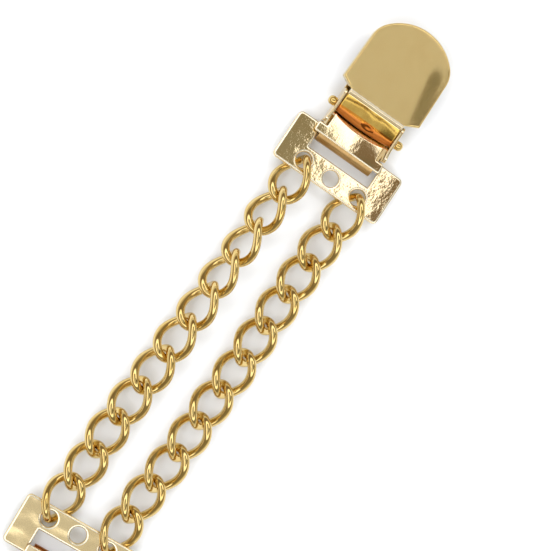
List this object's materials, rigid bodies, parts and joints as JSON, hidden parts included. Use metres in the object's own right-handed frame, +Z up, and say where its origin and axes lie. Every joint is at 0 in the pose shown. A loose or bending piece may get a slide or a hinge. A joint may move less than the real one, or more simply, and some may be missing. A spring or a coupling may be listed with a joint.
{
  "type": "sweater clip",
  "caption": "Clip for holding the edges of a cardigan together: a hinged flap clip looped on a pierced plate at each end, joined by parallel strands of curb chain.",
  "frame": {"origin": "middle of the outline, on the surface that it lies on", "axes": "+Y along the strands towards clip A, +Z up from the surface, +X to the right seen from above"},
  "size_m": [0.024, 0.1448, 0.0068],
  "materials": {
    "satin_gold": "satin pale gold plating",
    "polished_gold": "polished pale gold plating",
    "chain_gold": "polished deeper gold plating"
  },
  "bodies": {
    "root": {"connector_plate_a": "polished_gold", "connector_plate_b": "polished_gold", "link_left_1": "chain_gold", "link_left_2": "chain_gold", "link_left_3": "chain_gold", "link_left_4": "chain_gold", "link_left_5": "chain_gold", "link_left_6": "chain_gold", "link_left_7": "chain_gold", "link_left_8": "chain_gold", "link_left_9": "chain_gold", "link_left_10": "chain_gold", "link_left_11": "chain_gold", "link_right_1": "chain_gold", "link_right_2": "chain_gold", "link_right_3": "chain_gold", "link_right_4": "chain_gold", "link_right_5": "chain_gold", "link_right_6": "chain_gold", "link_right_7": "chain_gold", "link_right_8": "chain_gold", "link_right_9": "chain_gold", "link_right_10": "chain_gold", "link_right_11": "chain_gold"},
    "clip_a": {"loop_body_a": "polished_gold", "hinge_pin_a": "satin_gold"},
    "jaw_a": {"front_jaw_a": "satin_gold"},
    "clip_b": {"loop_body_b": "polished_gold", "hinge_pin_b": "satin_gold"},
    "jaw_b": {"front_jaw_b": "satin_gold"}
  },
  "joints": [
    {"name": "clip_a_swing", "type": "hinge", "parent": "root", "child": "clip_a", "pos_m": [-0.00038, 0.04706, 0.00146], "axis": [0.9998, 0.0209, 0], "range_deg": [-105, 5]},
    {"name": "jaw_a_opening", "type": "hinge", "parent": "clip_a", "child": "jaw_a", "pos_m": [-0.00098, 0.0521, 0.0029], "axis": [0.9998, 0.0209, 0], "range_deg": [0, 100]},
    {"name": "clip_b_swing", "type": "hinge", "parent": "root", "child": "clip_b", "pos_m": [0.00045, -0.04714, 0.00146], "axis": [-0.9957, -0.0924, 0], "range_deg": [-105, 5]},
    {"name": "jaw_b_opening", "type": "hinge", "parent": "clip_b", "child": "jaw_b", "pos_m": [0.00112, -0.05215, 0.0029], "axis": [-0.9957, -0.0924, 0], "range_deg": [0, 100]}
  ]
}
